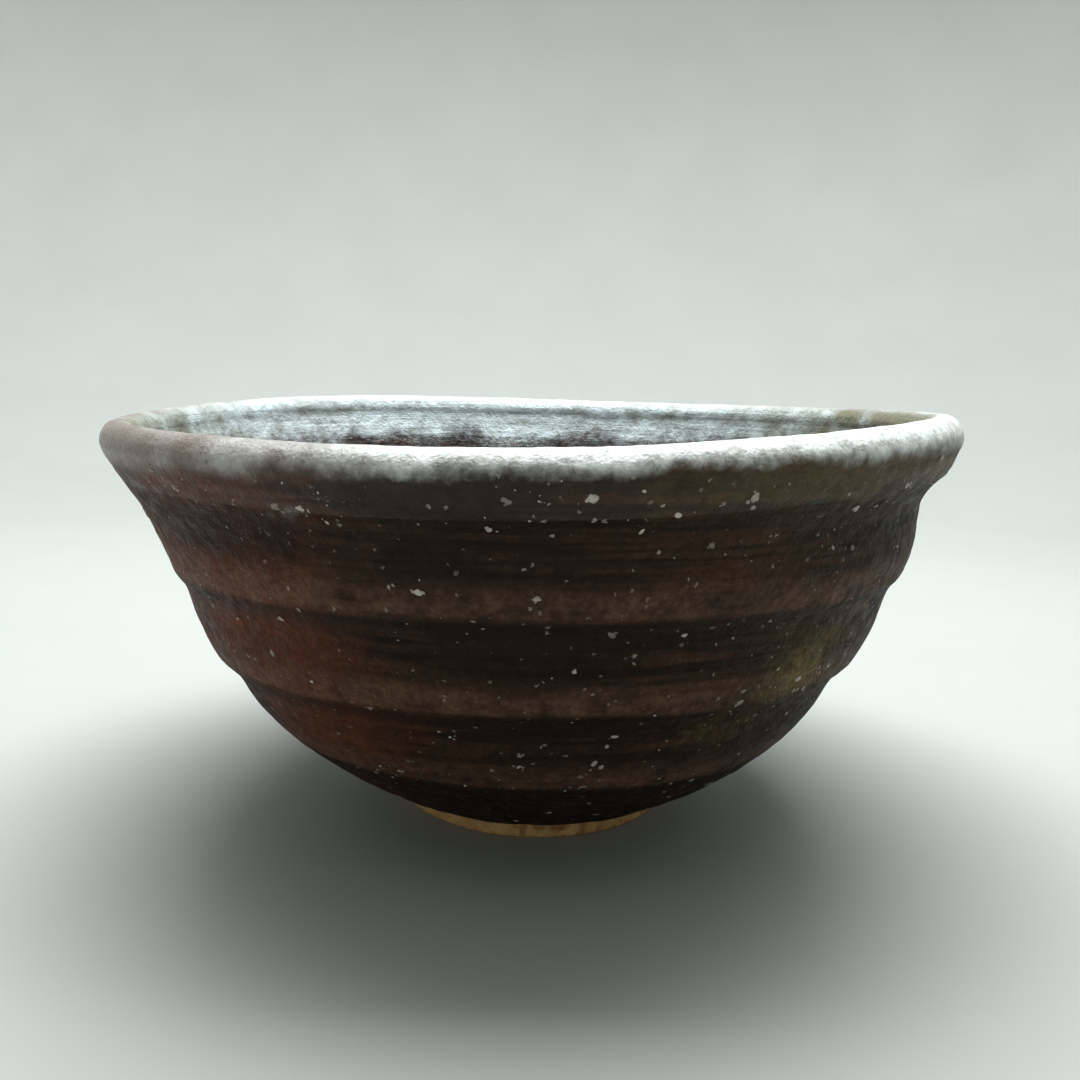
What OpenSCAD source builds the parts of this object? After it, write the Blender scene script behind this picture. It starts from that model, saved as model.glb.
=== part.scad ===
// Matcha bowl: a wide thrown stoneware tea bowl with a rolled lip, finger rings round the wall and a low
// foot ring. The clay, the coats fused to it and the feldspar grains on it are separate solids that meet
// face to face. Millimetres, +Z up, origin on the table at the centre of the foot.

/* [Bowl] */
// Diameter over the outside of the lip
rim_d = 142; // [110:1:176]
// Height from the table to the crest of the lip
bowl_h = 69; // [54:1:84]
// Thickness of the thrown wall, measured square to it
wall_t = 4.2; // [3:0.1:6]
// Thickness of the floor over the hollow of the foot
floor_t = 5; // [3.5:0.1:8]
// Share of the wall's spread that is straight flare; the rest is the round hip
flare = 0.54; // [0.4:0.01:0.8]
// How tightly the hip turns up, higher is tighter
hip_turn = 4.7; // [3:0.1:6]

/* [Inside] */
// Height over which the floor rounds up into the wall
floor_round = 18; // [12:1:26]
// Diameter of the tea pool sunk in the floor
pool_d = 30; // [20:1:40]
// Depth of the tea pool
pool_depth = 0.8; // [0.3:0.1:1.5]

/* [Lip] */
// Width of the rolled lip at its thickest
lip_w = 6; // [4.5:0.1:8]
// Height from the lip's widest point up to its crest
lip_rise = 3.2; // [2.5:0.1:4.5]
// Height of the whole lip above its joint with the wall
lip_h = 9; // [7:0.1:12]

/* [Finger rings] */
// Depth of the hollow between two finger rings
ring_depth = 0.8; // [0:0.1:1.2]
// Height of the lowest ring above the foot
first_ring = 13.5; // [9:0.5:17]
// Distance from the lowest ring to the next
ring_pitch = 13.7; // [10:0.1:17]
// How much further apart each ring is than the one below it
pitch_growth = 1.03; // [1:0.01:1.2]

/* [Foot] */
// Diameter of the foot ring at the table
foot_d = 46.5; // [38:0.5:56]
// Height of the foot ring
foot_h = 3.2; // [2.4:0.1:6]
// Width of the foot ring's wall
foot_w = 5.5; // [4:0.1:8]
// How much wider the foot ring is at its top, on the radius
foot_flare = 0.5; // [0:0.1:1.2]
// Width of the flat shelf between the foot ring and the wall
shelf_w = 3.2; // [2.4:0.1:6]
// How much deeper the hollow is cut inside the foot than the foot is high
hollow_depth = 2.6; // [1.5:0.1:4]
// Height of the small peak left in the middle of the hollow
peak_h = 0.9; // [0.3:0.1:1.4]
// Radius on the edges of the foot ring
foot_edge = 0.7; // [0.3:0.1:1.2]

/* [Coats] */
// Thickness of the iron slip outside
slip_t = 0.4; // [0.3:0.05:0.8]
// Thickness of the ash glaze inside and over the lip
glaze_t = 0.4; // [0.3:0.05:0.8]
// Width of bare clay left between the foot ring and the slip
bare_w = 1; // [0.6:0.1:2]

/* [Feldspar grains] */
// How many large grains stand in the outside
grain_count = 56; // [8:1:80]
// Diameter of the smallest of them
grain_min_d = 1.3; // [1.1:0.1:1.6]
// Diameter of the largest of them
grain_max_d = 2.4; // [1.8:0.1:3]
// How far a grain's centre lies under the slip's face, as a share of its radius
grain_sink = 0.4; // [0.2:0.05:0.6]

/* [Hidden] */
$fn = 180;

WALL_STEPS = 72;    // straight steps that draw the outside of the wall above the edge of the slip
BARE_STEPS = 4;     // and the bare clay below that edge
INSIDE_STEPS = 40;  // and the inside
LIP_STEPS = 40;     // and the lip
EDGE_STEPS = 6;     // and each rounded edge of the foot and of the hollow in it
WALL_CROWD = 1.5;   // crowds the wall's steps towards the foot, where the line bends most
INSIDE_CROWD = 2;   // and the inside's steps towards the floor
STEP = 0.002;       // the share of a line over which its slope is measured
TINY = 0.001;
MOST_RINGS = 20;

SHELF_SLOPE = 1 / 3; // rise of the shelf beside the foot over its width
SHELF_TURN = 3;      // how full the rounding from the shelf to the wall is
FLOOR_TURN = 3;      // and that from the floor to the wall
LIP_TURN = 1.3;      // how late the flare of the lip turns upright, 1 is a sharp edge
RING_SKEW = 1.8;     // how high between two rings the hollow is deepest, 1 is half way
HOLLOW_ROUND = 0.7;  // radius of the corner of the foot's hollow, as a share of its extra depth

GRAIN_FACETS = 24;
SEAT_FACETS = 360;   // fine enough to keep the volume of so small a grain
GRAIN_START = 0.16;  // the share of the wall at which the lowest grains stand
GRAIN_END = 0.94;    // and the highest
GRAIN_CROWD = 1.25;  // crowds the grains towards the foot
GRAIN_FINE = 3;      // makes most grains small
// From one grain to the next: the turn in degrees, and the shares of the wall and of the range of
// sizes. The three steps never fall into a row.
TURN_STEP = 271.756;
RISE_STEP = 0.56984;
SIZE_STEP = 0.381966;

joint_z = bowl_h - lip_h;                // the flat joint between wall and lip
lip_z = bowl_h - lip_rise;               // the height at which the lip is widest
lip_out_r = rim_d / 2;
lip_in_r = lip_out_r - lip_w;
foot_top_r = foot_d / 2 + foot_flare;
foot_in_r = foot_d / 2 - foot_w;
hip_r = foot_d / 2 + shelf_w;            // where the shelf turns up into the wall
shelf_rise = shelf_w * SHELF_SLOPE;      // the height in which it does so
hollow_z = foot_h + hollow_depth;
hollow_round = hollow_depth * HOLLOW_ROUND;
floor_z = hollow_z + floor_t;

// Heights of the finger rings that fit under the lip, with the lip's joint as the last of them.
function ring_z(k) = foot_h + first_ring
    + ring_pitch * (pitch_growth == 1 ? k : (pow(pitch_growth, k) - 1) / (pitch_growth - 1));
RINGS = concat([for (k = [0 : MOST_RINGS]) if (ring_z(k) < joint_z - ring_pitch / 2) ring_z(k)], [joint_z]);

// How far the hollow between two rings cuts in at height z.
function hollow_at(z, k = 0) =
    z <= RINGS[0] || z >= joint_z ? 0
    : z < RINGS[k + 1]
        ? ring_depth * sin(180 * pow((z - RINGS[k]) / (RINGS[k + 1] - RINGS[k]), RING_SKEW))
    : hollow_at(z, k + 1);

// Radius of the smooth outside at height z, with no rings.
function smooth_r(z) =
    let (t = (z - foot_h) / (bowl_h - foot_h))
    hip_r + (rim_d / 2 - hip_r) * (flare * t + (1 - flare) * (1 - pow(1 - t, hip_turn)));

// How far the shelf draws the outside in towards the foot at height z.
function shelf_in(z) =
    (hip_r - foot_top_r - slip_t) * pow(1 - min(1, (z - foot_h) / shelf_rise), SHELF_TURN);

// Width of the wall along a level line at height z, from its thickness square to the surface.
function level_w(z) =
    let (slope = smooth_r(z + 0.5) - smooth_r(z - 0.5))
    wall_t * sqrt(1 + slope * slope);

// Three lines of the section as [radius, height], each for u from 0 to 1.
// The outside runs from the foot to the lip's joint.
outside = function (u)
    let (z = foot_h + (joint_z - foot_h) * pow(u, WALL_CROWD))
    [smooth_r(z) - shelf_in(z) - hollow_at(z), z];

// The inside runs from the centre of the floor to the lip's joint.
inside = function (u)
    let (z = floor_z + (joint_z - floor_z) * pow(u, INSIDE_CROWD),
         turn = sqrt(1 - pow(1 - min(1, (z - floor_z) / floor_round), FLOOR_TURN)),
         r = (smooth_r(z) - level_w(z)) * turn,
         sunk = pool_depth * pow(1 - pow(min(1, 2 * r / pool_d), 2), 2))
    [r, z - sunk];

// The lip runs from the outside of the joint, over the crest, to the inside of the joint.
lip = function (u)
    let (up = 4 * min(u, 1 - u),
         from = (u < 0.5 ? outside : inside)(1),
         to = [u < 0.5 ? lip_out_r : lip_in_r, lip_z])
    up < 1 ? [to.x - (to.x - from.x) * pow(1 - up, LIP_TURN), from.y + (to.y - from.y) * up]
    : [lip_out_r - lip_w / 2 + lip_w / 2 * sin(360 * u), lip_z - lip_rise * cos(360 * u)];

// The way square to a line, on its right hand. On the axis it is straight down, and at the lip's joint
// it is level, so that both sides of the joint end on one plane.
function square_to(line, u) =
    let (p = line(u), d = line(min(1, u + STEP)) - line(max(0, u - STEP)))
    p.x < TINY ? [0, -1]
    : abs(p.y - joint_z) < TINY ? [sign(d.y), 0]
    : [d.y, -d.x] / norm(d);

function moved(line, u, by) = line(u) + by * square_to(line, u);

function drawn(line, steps, by = 0, from = 0, to = 1) =
    [for (i = [0 : steps]) moved(line, from + (to - from) * i / steps, by)];

function reversed(points) = [for (i = [len(points) - 1 : -1 : 0]) points[i]];

// The outside's u at the edge of the slip, so far out from the foot ring.
function u_beside_foot(u = 0) =
    outside(u).x >= foot_top_r + bare_w ? u : u_beside_foot(u + TINY);
slip_u = u_beside_foot();
slip_line = drawn(outside, WALL_STEPS, -slip_t, slip_u); // the face between slip and clay
slip_face = drawn(outside, WALL_STEPS, 0, slip_u);

// A turned solid from a closed section.
module turned(points) {
    rotate_extrude() polygon(points);
}

// Round grains with their centres a little under the outside, and their poles square to it.
module whole_grains() {
    for (i = [0 : grain_count - 1]) {
        r = (grain_min_d + (grain_max_d - grain_min_d) * pow((i * SIZE_STEP) % 1, GRAIN_FINE)) / 2;
        u = GRAIN_START + (GRAIN_END - GRAIN_START) * pow((i * RISE_STEP) % 1, GRAIN_CROWD);
        at = moved(outside, u, -grain_sink * r);
        away = square_to(outside, u);
        rotate(i * TURN_STEP) translate([at.x, 0, at.y]) rotate([0, atan2(away.x, away.y), 0])
            sphere(r = r, $fn = GRAIN_FACETS);
    }
}

// The thrown clay from the foot's joint to the lip's joint, with the hollow that is cut inside the foot.
module clay_body() {
    hollow = concat(
        [[0, hollow_z - peak_h]],
        [for (a = [0 : 90 / EDGE_STEPS : 90])
            [foot_in_r - hollow_round * (1 - sin(a)), hollow_z - hollow_round * (1 - cos(a))]],
        [[foot_in_r, foot_h]]);
    color("#5a4638") turned(concat(
        hollow,
        [[foot_top_r, foot_h]],
        drawn(outside, BARE_STEPS, -slip_t, 0, slip_u),
        [for (i = [1 : WALL_STEPS]) slip_line[i]],
        reversed(drawn(inside, INSIDE_STEPS, glaze_t))));
}

// The low ring that the bowl stands on, bare clay, with a flat resting face.
module foot_ring() {
    function edge(r, side) = [for (a = [0 : 90 / EDGE_STEPS : 90])
        [r + side * foot_edge * (sin(a) - 1), foot_edge * (1 - cos(a))]];
    color("#b08a5c") turned(concat(
        edge(foot_d / 2, 1),
        [[foot_top_r, foot_h], [foot_in_r, foot_h]],
        reversed(edge(foot_in_r, -1))));
}

// The clay of the lip, rolled outward and thickened.
module lip_roll() {
    color("#5a4638") turned(drawn(lip, LIP_STEPS, -glaze_t));
}

// The iron slip on the outside, from beside the foot to the lip's joint.
module outer_slip() {
    color("#3a241e") turned(concat(slip_line, reversed(slip_face)));
}

// The ash glaze over the lip.
module lip_glaze() {
    color("#8b8c82") turned(concat(drawn(lip, LIP_STEPS), reversed(drawn(lip, LIP_STEPS, -glaze_t))));
}

// The ash glaze that lines the inside.
module inner_glaze() {
    color("#55585a") turned(concat(
        drawn(inside, INSIDE_STEPS), reversed(drawn(inside, INSIDE_STEPS, glaze_t))));
}

// The largest feldspar grains. They stand on the slip, and none lies in another's place.
module feldspar_grains() {
    color("#d8d2c4") difference() {
        whole_grains();
        turned(concat([[0, slip_face[0].y]], slip_face, [[0, joint_z]]), $fn = SEAT_FACETS);
    }
}

clay_body();
foot_ring();
lip_roll();
outer_slip();
lip_glaze();
inner_glaze();
feldspar_grains();
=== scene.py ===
"""Matcha bowl: the thrown, hand-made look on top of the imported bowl.

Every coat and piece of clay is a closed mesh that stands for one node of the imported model. The section is
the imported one; the lean, the warp of the lip, the finger rings and the fired surface are the potter's hand
and the kiln's. Sizes in the shape functions are millimetres, and a piece becomes metres when it is made.
Angles go round the foot's centre from +X; the side first seen is -Y, at -90 degrees.
"""

import math

import bmesh
import bpy
import numpy as np
from mathutils import Matrix, Vector


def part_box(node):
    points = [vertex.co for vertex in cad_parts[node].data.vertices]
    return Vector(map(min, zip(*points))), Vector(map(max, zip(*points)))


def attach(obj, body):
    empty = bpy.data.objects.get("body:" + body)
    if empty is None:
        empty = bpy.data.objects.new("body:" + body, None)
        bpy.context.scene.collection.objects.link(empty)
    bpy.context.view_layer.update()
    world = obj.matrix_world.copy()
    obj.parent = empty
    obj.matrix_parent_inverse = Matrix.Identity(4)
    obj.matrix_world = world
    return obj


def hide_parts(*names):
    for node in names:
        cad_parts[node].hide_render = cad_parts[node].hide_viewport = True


MM = 0.001
TURN = 2 * math.pi

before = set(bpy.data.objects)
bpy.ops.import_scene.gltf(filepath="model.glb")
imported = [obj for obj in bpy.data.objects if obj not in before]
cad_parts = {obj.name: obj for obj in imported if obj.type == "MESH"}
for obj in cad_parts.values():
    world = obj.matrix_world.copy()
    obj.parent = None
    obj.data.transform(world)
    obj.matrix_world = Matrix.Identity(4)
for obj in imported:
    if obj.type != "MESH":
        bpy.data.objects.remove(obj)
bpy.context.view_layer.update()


def box_mm(node):
    """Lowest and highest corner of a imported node, in millimetres."""
    low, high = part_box(node)
    return np.array(low) / MM, np.array(high) / MM


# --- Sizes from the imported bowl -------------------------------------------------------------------

RIM_R = box_mm("lip_glaze")[1][0]
TOP = box_mm("lip_glaze")[1][2]
FOOT_TOP_R = box_mm("foot_ring")[1][0]
FOOT_H = box_mm("foot_ring")[1][2]
FLOOR_UNDER = box_mm("inner_glaze")[0][2]

# --- The section, as thrown -----------------------------------------------------------------------

COAT = 0.4             # thickness of slip and glaze
SUNK = 0.75 * COAT     # how far the clay lies under the face of its coat
WALL = 4.2             # thickness of the wall, measured square to it
LIP_W = 6.0            # width of the rolled lip
CREST = TOP - 1.6      # mean height of the lip's crest; the lean carries its high side over this
LIP_RISE = 3.2         # from the lip's widest point up to its crest
JOINT = CREST - 8.4    # where lip and wall meet
HIP_R = FOOT_TOP_R + 2.0   # the wall starts this far outside the foot
FLARE = 0.535          # share of the wall's spread that is straight flare
HIP_TURN = 4.97        # how tightly the hip turns up
SHELF_RISE = 1.0       # the shelf beside the foot turns up within this height
FOOT_EDGE = 0.7        # rounding of the foot's edges
FOOT_W = 5.5
FOOT_TAPER = 0.5       # the foot is this much narrower at its base than at its top
FOOT_IN_R = FOOT_TOP_R - FOOT_TAPER - FOOT_W
HOLLOW_DEPTH = 2.6     # how much deeper the hollow is cut inside the foot
FLOOR_ROUND = 18.0     # height over which the floor rounds up into the wall
POOL_R = 15.0
POOL_DEPTH = 0.8
FLOOR = FLOOR_UNDER + COAT + POOL_DEPTH

# --- The potter's hand ----------------------------------------------------------------------------

LEAN = 0.022           # rise of the bowl towards +X, over its width
LEAN_FROM = 8.0        # the lean starts at this height, because the foot stands flat
LEAN_FULL = 30.0       # and is complete at this one
WARP = 0.68            # how far the lip is twisted up and down
LIP_SHIFT = -1.7       # how far the lip sits off the foot's centre, along X
RING_EDGES = (16.7, 30.4, 44.6)   # heights of the finger rings' lower edges
RING_SKEW = 2.6        # pushes the deepest place of each hollow up, under the next ring

AROUND = 600           # steps round the bowl
SLIP_ROWS = 124        # steps up the face of each coat
LIP_ROWS = 76
INSIDE_ROWS = 96
LUMP_SIDE = 48         # cells along a block of lumps, before it repeats
GRAIN_TRIES = 6000     # places tried for small grains


def smooth(x, start, end):
    """0 before start, 1 after end, with an even passage between."""
    t = np.clip((x - start) / (end - start), 0, 1)
    return t * t * (3 - 2 * t)


def gap(a, b):
    """Angle from b to a in degrees, from -180 to 180."""
    return (a - b + 180) % 360 - 180


def patch(a, z, at, height, wide, tall):
    """A soft round patch on the wall, 1 in its middle. Angles and wide are degrees."""
    return np.exp(-(gap(a, at) / wide) ** 2 - ((z - height) / tall) ** 2)


def beside(a, at, wide):
    """A soft stretch of the way round, 1 in its middle. All are degrees."""
    return np.exp(-(gap(a, at) / wide) ** 2)


def at_height(z, height, tall):
    """A soft stretch of height, 1 in its middle."""
    return np.exp(-((z - height) / tall) ** 2)


LUMP_TABLES = {}


def lump_table(seed):
    """A seeded block of random numbers, made once for each seed."""
    if seed not in LUMP_TABLES:
        LUMP_TABLES[seed] = np.random.default_rng(seed).uniform(-1, 1, (LUMP_SIDE,) * 3)
    return LUMP_TABLES[seed]


def lumps(points, size, seed):
    """Smooth random lumps about size across, from -1 to 1, at points of shape (..., 3)."""
    table = lump_table(seed)
    cell = points / size + 0.37 * seed
    low = np.floor(cell).astype(int)
    part = cell - low
    part = part * part * (3 - 2 * part)
    total = 0
    for corner in np.ndindex(2, 2, 2):
        weight = np.prod(np.where(corner, part, 1 - part), axis=-1)
        i, j, k = np.moveaxis((low + corner) % LUMP_SIDE, -1, 0)
        total = total + weight * table[i, j, k]
    return total


def layered(points, size, seed, layers=3):
    """Lumps of several sizes, each half as big and half as high as the last."""
    total = sum(lumps(points, size / 2 ** i, seed + i) / 2 ** i for i in range(layers))
    return total / (2 - 2 ** (1 - layers))


def on_wall(radius, a, z):
    """Points at a radius, an angle in degrees and a height."""
    turn = np.radians(a)
    return np.stack(np.broadcast_arrays(radius * np.cos(turn), radius * np.sin(turn), z), axis=-1)


def wall_radius(z):
    """Radius of the even wall's outside at a height, before rings and swellings."""
    t = (z - FOOT_H) / (TOP - FOOT_H)
    hip = 1 - np.clip(1 - t, 0, 1) ** HIP_TURN
    shelf = (HIP_R - FOOT_TOP_R - COAT) * (1 - np.clip((z - FOOT_H) / SHELF_RISE, 0, 1)) ** 3
    return HIP_R + (RIM_R - HIP_R) * (FLARE * t + (1 - FLARE) * hip) - shelf


def ring_depths(a):
    """Depth of the hollow above each ring edge, which changes round the bowl."""
    right = np.cos(np.radians(a))
    return (
        1.05 + 0.05 * right,
        0.85 + 0.1 * right,
        0.7 + 0.75 * right,
    )


def ring_edges(a, z):
    """Heights of the rings' lower edges, which rise and fall a little round the bowl."""
    sway = lumps(on_wall(40, a, 0 * z), 38, 11) * 1.1
    return [edge + sway * (0.6 + 0.2 * i) for i, edge in enumerate(RING_EDGES)]


def ring_hollow(a, z):
    """How far the hollows between the finger rings cut into the wall."""
    edges = ring_edges(a, z) + [JOINT + 0 * a]
    cut = 0
    for low, high, depth in zip(edges, edges[1:], ring_depths(a)):
        rise = np.clip((z - low) / (high - low), 0, 1)
        cut = cut + depth * np.sin(np.pi * rise ** RING_SKEW)
    return cut


def swell(a, z):
    """Wide unevenness of the hand: fuller under the lip all round, and drawn in lower down on the right."""
    left = -np.cos(np.radians(a))
    return 1.3 * at_height(z, 60.5, 4.5) + 0.4 * left * at_height(z, 53.0, 5.0)


def hand(points):
    """The lean, the warp and the small unevenness of a bowl thrown by hand, as new points."""
    x, y, z = np.moveaxis(points, -1, 0)
    a = np.arctan2(y, x)
    share = smooth(z, LEAN_FROM, LEAN_FULL)
    high = smooth(z, 30, CREST)
    wave = 0.3 + 0.3 * np.cos(2 * a) + 0.28 * np.cos(3 * a + 0.8) - 0.2 * np.cos(4 * a)
    lift = LEAN * x * share + high * (wave - WARP * np.sin(2 * a))
    narrow = 1 - 0.02 * high * np.cos(2 * a)
    aside = LIP_SHIFT * smooth(z, 48, CREST)
    return np.stack((x * narrow + aside, y, z + lift), axis=-1)


def outer_wall(a, z):
    """The outside from the foot to the lip's joint."""
    radius = wall_radius(z) - ring_hollow(a, z) + swell(a, z)
    return hand(on_wall(radius, a, z))


def inner_wall(a, u):
    """The inside, from the middle of the floor at 0 to the lip's joint at 1."""
    z = FLOOR + (JOINT - FLOOR) * u ** 2
    slope = wall_radius(z + 0.5) - wall_radius(z - 0.5)
    turn = np.sqrt(1 - (1 - np.clip((z - FLOOR) / FLOOR_ROUND, 0, 1)) ** 3)
    radius = (wall_radius(z) - WALL * np.sqrt(1 + slope ** 2)) * turn
    pool = POOL_DEPTH * (1 - np.clip(radius / POOL_R, 0, 1) ** 2) ** 2
    rings = 0.25 * ring_hollow(a + 40, z) * smooth(z, 14, 20) * (1 - smooth(z, JOINT - 3, JOINT))
    return hand(on_wall(radius + rings, a, z - pool))


def lip_line(a, u):
    """The lip, from the outside of its joint at 0 over the crest to the inside of the joint at 1."""
    outside = u < 0.5
    up = 4 * np.minimum(u, 1 - u)
    widest = CREST - LIP_RISE
    start_out = wall_radius(JOINT) + swell(a, JOINT)
    slope = wall_radius(JOINT + 0.5) - wall_radius(JOINT - 0.5)
    start_in = wall_radius(JOINT) - WALL * np.sqrt(1 + slope ** 2)
    start = np.where(outside, start_out, start_in)
    side = np.where(outside, RIM_R, RIM_R - LIP_W)
    flare = side - (side - start) * np.clip(1 - up, 0, 1) ** 1.3
    roll = RIM_R - LIP_W / 2 + LIP_W / 2 * np.sin(TURN * u)
    radius = np.where(up < 1, flare, roll)
    z = np.where(up < 1, JOINT + (widest - JOINT) * up, widest - LIP_RISE * np.cos(TURN * u))
    return hand(on_wall(radius, a, z))


# --- Making meshes --------------------------------------------------------------------------------

def angles(around=AROUND):
    """All angles round the bowl in degrees, as one row."""
    return np.linspace(-180, 180, around, endpoint=False)[None, :]


def rings_of(line, rows, around=AROUND):
    """Points of a line of the section at all its steps and all angles."""
    return line(angles(around), rows[:, None])


def square(grid):
    """Unit normals of a grid of points that closes on itself round the bowl."""
    along = np.gradient(grid, axis=0)
    round_it = np.roll(grid, -1, axis=1) - np.roll(grid, 1, axis=1)
    across = np.cross(round_it, along)
    return across / np.maximum(np.linalg.norm(across, axis=-1, keepdims=True), 1e-9)


def raised(grid, height):
    """A grid moved along its normals by a height in millimetres."""
    return grid + square(grid) * np.broadcast_to(height, grid.shape[:2])[..., None]


def make_piece(name, rows, node, material, masks=None, sharp_rows=()):
    """A closed solid from a loop of rows, each a ring of points in millimetres."""
    count, around = rows.shape[:2]
    point = np.arange(count * around).reshape(count, around)
    above = np.roll(point, -1, axis=0)
    faces = np.stack((point, np.roll(point, -1, 1), np.roll(above, -1, 1), above), axis=-1)
    mesh = bpy.data.meshes.new(name)
    mesh.from_pydata((rows.reshape(-1, 3) * MM).tolist(), [], faces.reshape(-1, 4).tolist())
    mesh.polygons.foreach_set("use_smooth", np.ones(len(mesh.polygons), bool))
    for label, values in (masks or {}).items():
        layer = mesh.attributes.new(label, "FLOAT", "POINT")
        layer.data.foreach_set("value", np.asarray(values, np.float32).ravel())
    close_on_axis(mesh, sharp_rows, point)
    return place(bpy.data.objects.new(name, mesh), node, material)


def close_on_axis(mesh, sharp_rows, point):
    """Creases the named rings, joins the points that share a place on the axis and turns faces outward."""
    work = bmesh.new()
    work.from_mesh(mesh)
    work.verts.ensure_lookup_table()
    for row in sharp_rows:
        for here, following in zip(point[row], np.roll(point[row], -1)):
            work.edges.get((work.verts[here], work.verts[following])).smooth = False
    middle = [v for v in work.verts if math.hypot(v.co.x, v.co.y) < 1e-6]
    bmesh.ops.remove_doubles(work, verts=middle, dist=1e-6)
    bmesh.ops.recalc_face_normals(work, faces=work.faces)
    work.to_mesh(mesh)
    work.free()


def place(piece, node, material):
    """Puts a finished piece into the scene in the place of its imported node."""
    bpy.context.scene.collection.objects.link(piece)
    piece.data.materials.append(material)
    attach(piece, "root")
    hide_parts(node)
    return piece


def coat(name, face, back, node, material, masks):
    """A thin closed coat: a finished face, and every fourth row of its back. Masks are given for the face."""
    kept = np.unique(np.append(np.arange(0, len(face), 4), len(face) - 1))[::-1]
    rows = np.concatenate((face, back[kept]))
    both = {label: np.concatenate((values, values[kept])) for label, values in masks.items()}
    return make_piece(name, rows, node, material, both, (0, len(face) - 1))


# --- The fired surface ----------------------------------------------------------------------------

def pull(points, tall):
    """Points drawn out round the bowl, so that lumps taken at them become lines left by turning."""
    x, y, z = np.moveaxis(points, -1, 0)
    across = np.hypot(x, y)
    turn = np.stack((x, y), axis=-1) / np.maximum(across, 1)[..., None]
    return np.concatenate((turn * 9, ((z + 0.5 * across) / tall)[..., None]), axis=-1)


def thrown_relief(points):
    """Height of the skin that throwing leaves: soft dents, and lines that run round."""
    dents = 0.13 * layered(points, 9, 21) + 0.045 * layered(points, 2.6, 31, 2)
    lines = 0.075 * lumps(pull(points, 1.7), 1, 41) + 0.05 * lumps(pull(points, 0.9), 1, 43)
    return dents + lines


def lip_reach(a):
    """How far under its crest the pale ash of the lip reaches down the outside."""
    return 1.5 + 3.2 * beside(a, -158, 44) + 1.4 * beside(a, -25, 40) + 1.8 * beside(a, 90, 60)


def outside_ash(a, z, wide, fine):
    """The ash that runs down from the lip, and the clouds of it that hang under it."""
    reach = lip_reach(a) + 0.7 * fine + 0.5 * wide
    ash = smooth(z, CREST - reach - 2.6, CREST - reach + 1.2)
    hanging = patch(a, z, -114, 58.5, 7, 3) + 0.7 * patch(a, z, -68, 61, 8, 3)
    return np.clip(ash + np.clip(fine + 0.1, 0, 1) * 0.5 * hanging, 0, 1)


def crust_patches(a, z):
    """Where the ash lay thick enough to leave an ochre crust."""
    crust = 0.8 * patch(a, z, -50, 34, 9, 4.5) + 0.45 * patch(a, z, -40, 41, 9, 4)
    crust = crust + 0.35 * patch(a, z, -62, 26, 12, 4)
    return np.clip(crust + 0.5 * patch(a, z, 75, 48, 18, 9) + 0.4 * patch(a, z, 165, 33, 12, 8), 0, 1)


def outside_olive(a, z, wide, crust):
    """Where thin ash turned the slip olive: under the lip on the right, round the crust, and behind."""
    under_lip = smooth(a, -96, -60) * smooth(z, 57, 62) * (1 - smooth(a, 20, 80))
    right_low = smooth(a, -88, -45) * (1 - smooth(a, 40, 100)) * (0.12 + 0.5 * wide)
    behind = 0.5 * patch(a, z, 120, 40, 50, 22)
    return np.clip(0.75 * under_lip + 0.7 * crust + np.clip(right_low, 0, 1) + behind, 0, 1)


def outside_red(a, z, wide):
    """Where the flame turned the iron red, mostly on the left."""
    left = (1 - smooth(a, -132, -96)) + smooth(a, 120, 170)
    return np.clip(left * (0.75 + 0.6 * wide) + 0.2 * patch(a, z, -70, 22, 30, 9), 0, 1)


def outside_dark(a, z, wide):
    """Where the outside is darkest: the slip's own blots under the lip and in the middle of the front, and
    painted shade under the lip on the left and down to the foot.
    """
    blots = patch(a, z, -102, 62, 7, 2.6) + patch(a, z, -94, 62.5, 6, 2.4) + patch(a, z, -102, 52, 4, 2.6)
    dark = np.clip(blots + patch(a, z, -99, 48.5, 3.5, 2) + 0.8 * patch(a, z, -88, 40, 16, 20), 0, 1)
    # Painted shade: the slip is darkened towards the foot, where the bowl's underside turns away from the
    # light.
    shade_towards_foot = 0.9 * (1 - smooth(z, 10, 32))
    # Painted shade under the lip on the left.
    shade_under_lip_left = 0.8 * patch(a, z, -132, 55, 24, 5.5)
    right = 0.35 * smooth(a, -75, -45) * (1 - smooth(a, 30, 80))
    return np.clip(dark + 0.5 * np.clip(-wide, 0, 1) + shade_towards_foot + shade_under_lip_left + right, 0, 1)


def outside_masks(a, z, points):
    """Where each look of the fired surface lies on the outside, from 0 to 1."""
    wide = layered(points, 16, 51)
    fine = layered(points, 4.5, 61)
    crust = crust_patches(a, z)
    return {
        "ash": outside_ash(a, z, wide, fine),
        "pale": lip_paleness(a, fine),
        "olive": outside_olive(a, z, wide, crust),
        "red": outside_red(a, z, wide),
        "dark": outside_dark(a, z, wide),
        # painted highlight: a paler band over each ring's edge, where it catches the light
        "ring_highlight": ring_highlight_band(a, z),
        "under": under_ring(a, z),
        "inside": np.zeros_like(wide),
        "crust": crust * np.clip(0.75 + 0.6 * fine, 0, 1),
    }


def lip_paleness(a, fine):
    """How white the ash is round the lip: white in front, mauve on the left, lilac on the right."""
    front = beside(a, -78, 32) + 0.6 * beside(a, -30, 28)
    behind = 0.7 * beside(a, 100, 60)
    left = 0.16 * beside(a, -150, 34)
    return np.clip(0.12 + front + behind - left + 0.3 * fine, 0, 1)


def under_ring(a, z):
    """The dark line just under each ring's edge, where the slip turns away from the light."""
    line = 0
    for low in ring_edges(a, z):
        line = line + smooth(z, low - 4.5, low - 0.6) * (1 - smooth(z, low - 0.3, low + 0.5))
    lip_shade = 0.35 * smooth(z, JOINT - 5, JOINT - 1) * (1 - smooth(z, JOINT - 1, JOINT + 2))
    return np.clip(line + lip_shade, 0, 1) + 0 * a


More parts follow.
